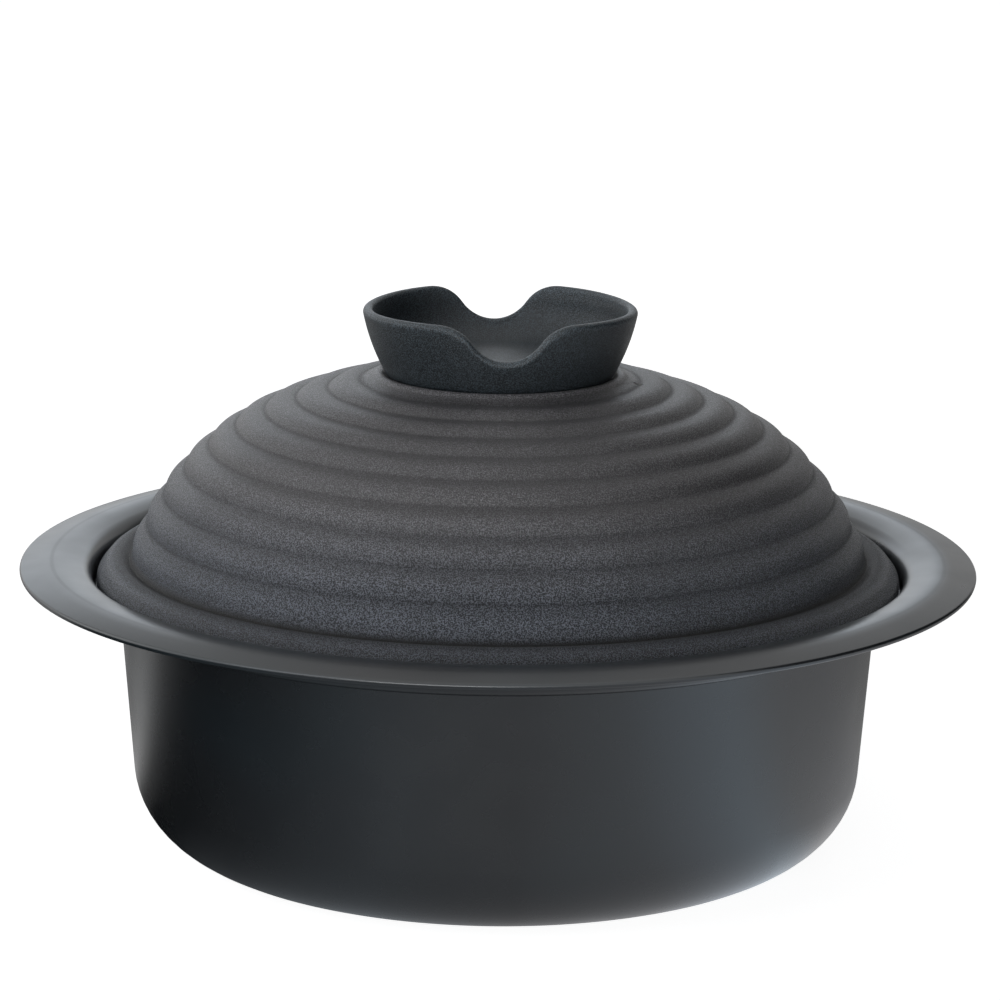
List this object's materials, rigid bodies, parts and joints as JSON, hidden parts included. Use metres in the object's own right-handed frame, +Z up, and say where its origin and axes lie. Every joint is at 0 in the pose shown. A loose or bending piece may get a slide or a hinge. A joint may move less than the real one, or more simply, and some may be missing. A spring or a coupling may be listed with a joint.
{
  "type": "lidded hot pot",
  "caption": "Low round black iron cooking pot with a wide, gently domed flange, a domed ribbed lid resting inside it and a notched cup knob on top.",
  "frame": {"origin": "centre of the pot's flat base, on the surface it stands on", "axes": "+Z up along the axis that the pot, lid and knob share, +Y through the two notches in the knob's rim, +X completes a right-handed frame"},
  "size_m": [0.285, 0.285, 0.1624],
  "materials": {
    "black_oxide_sheet": "satin",
    "sand_cast_iron": "matte",
    "fine_cast_iron": "matte",
    "stainless_hardware": "satin"
  },
  "bodies": {
    "pot": {"pot_body": "black_oxide_sheet"},
    "lid_assembly": {"lid": "sand_cast_iron", "lid_knob": "fine_cast_iron", "knob_screw": "stainless_hardware", "knob_washer": "stainless_hardware", "knob_lock_washer": "stainless_hardware"}
  },
  "joints": [
    {"name": "lid_lift", "type": "slide", "parent": "pot", "child": "lid_assembly", "axis": [0, 0, 1], "range_m": [0, 0.15]}
  ]
}
